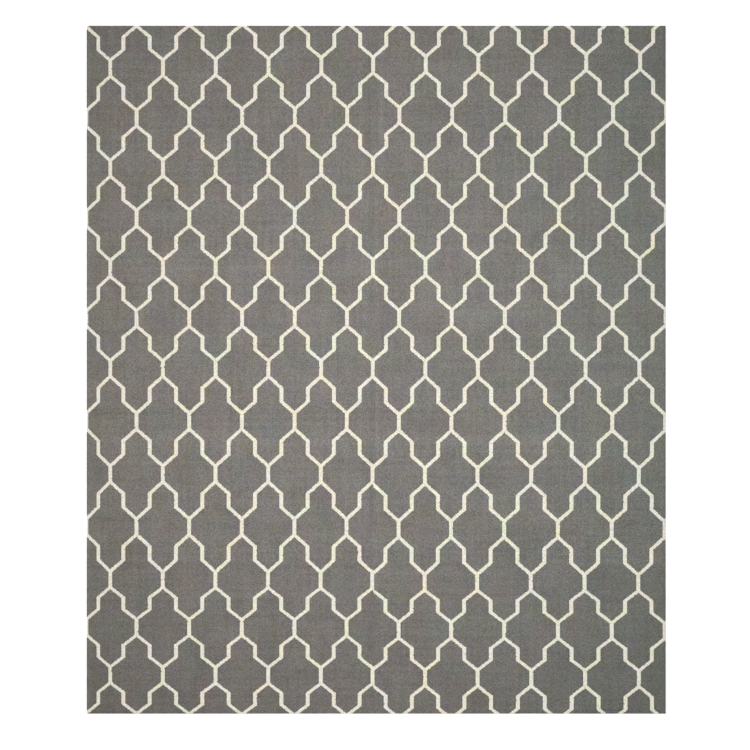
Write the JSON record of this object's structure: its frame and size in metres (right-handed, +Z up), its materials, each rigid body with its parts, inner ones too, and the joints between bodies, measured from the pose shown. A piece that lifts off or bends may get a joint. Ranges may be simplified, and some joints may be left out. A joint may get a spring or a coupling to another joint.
{
  "type": "kilim rug",
  "caption": "Flat-woven wool rug, laid flat: a grey field with an ivory trellis of stepped, pointed cells, plain selvedges and plain finished ends.",
  "frame": {"origin": "middle of the rug's underside", "axes": "+Y along the rug's length from end to end, +X across it from selvedge to selvedge, +Z up through its thickness"},
  "size_m": [2.44, 2.9, 0.004],
  "materials": {
    "grey_wool": "matte",
    "ivory_wool": "matte"
  },
  "bodies": {
    "root": {"kilim_rug": "grey_wool"}
  },
  "joints": []
}
